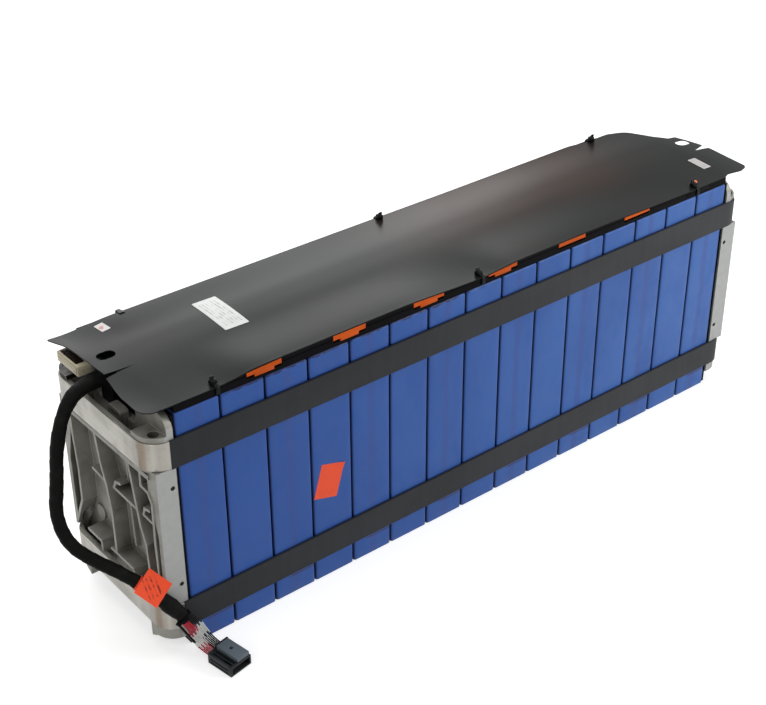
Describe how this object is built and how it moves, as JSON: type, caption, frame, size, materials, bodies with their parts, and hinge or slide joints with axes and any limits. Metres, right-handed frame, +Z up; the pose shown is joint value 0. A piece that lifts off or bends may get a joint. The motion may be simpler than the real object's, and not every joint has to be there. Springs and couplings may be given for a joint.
{
  "type": "battery module",
  "caption": "Long battery module of wrapped prismatic cells clamped by steel straps between ribbed die-cast end plates, with a thin top cover and a signal loom.",
  "frame": {"origin": "middle of the cell stack's underside, the face it stands on", "axes": "+X along the stack away from the end where the signal loom leaves, -Y the front long side that the loom's plug lies beside, +Z up"},
  "size_m": [0.6641, 0.1795, 0.2153],
  "materials": {
    "amber_film": "thin flexible circuit",
    "bar_metal": "rolled sheet",
    "black_lead": "wire insulation",
    "black_plastic": "moulded, matte",
    "black_sheet": "fine satin sheet",
    "board_green": "coated circuit board",
    "cast_metal": "die-cast, dull, machined strips bright",
    "cell_film": "glossy blue wrapping film",
    "cream_plastic": "moulded header",
    "loom_tape": "cloth tape",
    "orange_label": "plain label stock",
    "orange_plastic": "moulded, matte",
    "plug_plastic": "moulded plug",
    "red_lead": "wire insulation",
    "sleeve_film": "dark matte film",
    "strap_steel": "cold-rolled strip with fine grain",
    "white_label": "plain label stock",
    "white_sleeve": "marker tubing"
  },
  "bodies": {
    "root": {"bar_caps_back": "orange_plastic", "bar_caps_front": "orange_plastic", "board_header": "cream_plastic", "bus_bar_tray": "black_plastic", "bus_bars_back": "bar_metal", "bus_bars_front": "bar_metal", "cell_01": "cell_film", "cell_02": "cell_film", "cell_03": "cell_film", "cell_04": "cell_film", "cell_05": "cell_film", "cell_06": "cell_film", "cell_07": "cell_film", "cell_08": "cell_film", "cell_09": "cell_film", "cell_10": "cell_film", "cell_11": "cell_film", "cell_12": "cell_film", "cell_13": "cell_film", "cell_14": "cell_film", "cell_15": "cell_film", "cell_label": "orange_label", "cell_spacers": "black_plastic", "cell_terminals": "bar_metal", "cover_label_far": "white_label", "cover_label_long": "white_label", "cover_label_near": "white_label", "cover_ties": "black_plastic", "end_insulator_far": "black_plastic", "end_insulator_near": "black_plastic", "end_plate_far": "cast_metal", "end_plate_near": "cast_metal", "header_plug": "cream_plastic", "leads_black": "black_lead", "leads_red": "red_lead", "loom_clip": "black_plastic", "loom_plug": "plug_plastic", "loom_tag": "orange_label", "loom_tie": "black_plastic", "marker_sleeve_black": "white_sleeve", "marker_sleeve_red": "white_sleeve", "output_bar_far": "bar_metal", "output_bar_near": "bar_metal", "sensing_board": "board_green", "sensing_film": "amber_film", "signal_loom": "loom_tape", "strap_lower": "strap_steel", "strap_sleeve_lower_back": "sleeve_film", "strap_sleeve_lower_front": "sleeve_film", "strap_sleeve_upper_back": "sleeve_film", "strap_sleeve_upper_front": "sleeve_film", "strap_upper": "strap_steel", "top_cover": "black_sheet"}
  },
  "joints": []
}
